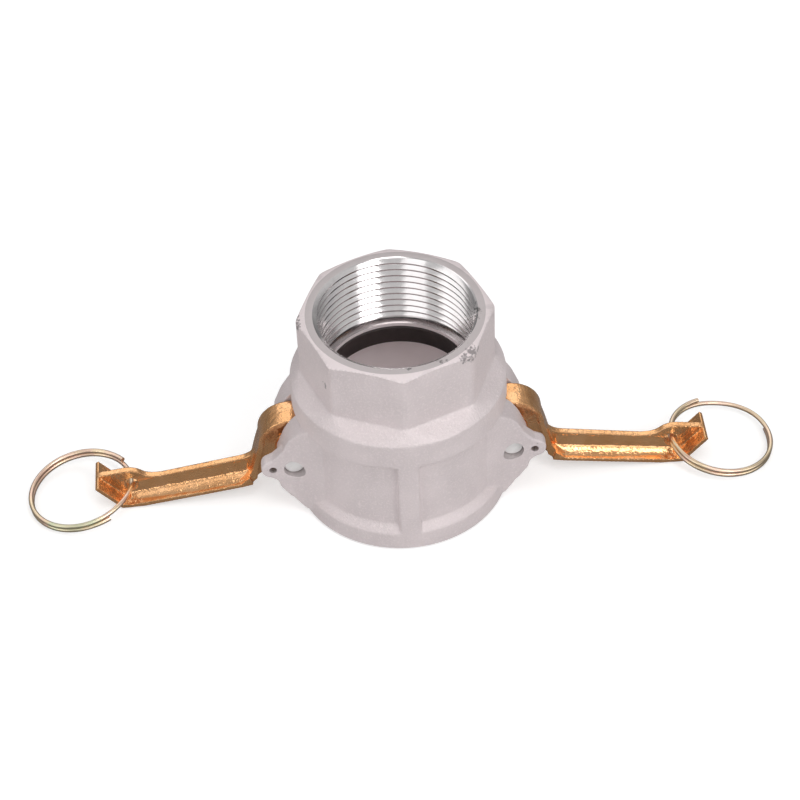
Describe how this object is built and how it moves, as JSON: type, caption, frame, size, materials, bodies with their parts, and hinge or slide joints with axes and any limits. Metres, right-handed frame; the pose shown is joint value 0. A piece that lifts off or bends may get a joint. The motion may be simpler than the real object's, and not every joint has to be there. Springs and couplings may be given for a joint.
{
  "type": "camlock coupling",
  "caption": "Quick-release hose coupling: cam arms lock a pipe adapter in the socket against a gasket, with a female pipe thread at the other end.",
  "frame": {"origin": "centre of the mouth rim, at the middle of the base of the whole part", "axes": "+Z from the mouth rim up to the threaded end, +X along the right-hand arm, -Y towards the front"},
  "size_m": [0.2238, 0.0628, 0.065],
  "materials": {
    "cast_aluminium": "shot-blasted casting with machined thread face",
    "black_rubber": "matt nitrile rubber",
    "gold_brass": "bright forged, slightly rippled",
    "bright_steel": "bright drawn steel",
    "yellow_zinc_wire": "yellow passivated zinc plating"
  },
  "bodies": {
    "body": {"coupler_body": "cast_aluminium", "gasket": "black_rubber", "right_pivot_pin": "bright_steel", "left_pivot_pin": "bright_steel"},
    "right_arm": {"right_cam_arm": "gold_brass"},
    "left_arm": {"left_cam_arm": "gold_brass"},
    "right_ring": {"right_pull_ring": "yellow_zinc_wire"},
    "left_ring": {"left_pull_ring": "yellow_zinc_wire"}
  },
  "joints": [
    {"name": "right_arm_hinge", "type": "hinge", "parent": "body", "child": "right_arm", "pos_m": [0.032, 0, 0.0182], "axis": [0, -1, 0], "range_deg": [-30, 99.5]},
    {"name": "left_arm_hinge", "type": "hinge", "parent": "body", "child": "left_arm", "pos_m": [-0.032, 0, 0.0182], "axis": [0, 1, 0], "range_deg": [-30, 99.5]},
    {"name": "right_ring_hinge", "type": "hinge", "parent": "right_arm", "child": "right_ring", "pos_m": [0.081, 0, 0.0055], "axis": [0, -1, 0], "range_deg": [-160, 90]},
    {"name": "left_ring_hinge", "type": "hinge", "parent": "left_arm", "child": "left_ring", "pos_m": [-0.081, 0, 0.0055], "axis": [0, 1, 0], "range_deg": [-160, 90]}
  ]
}
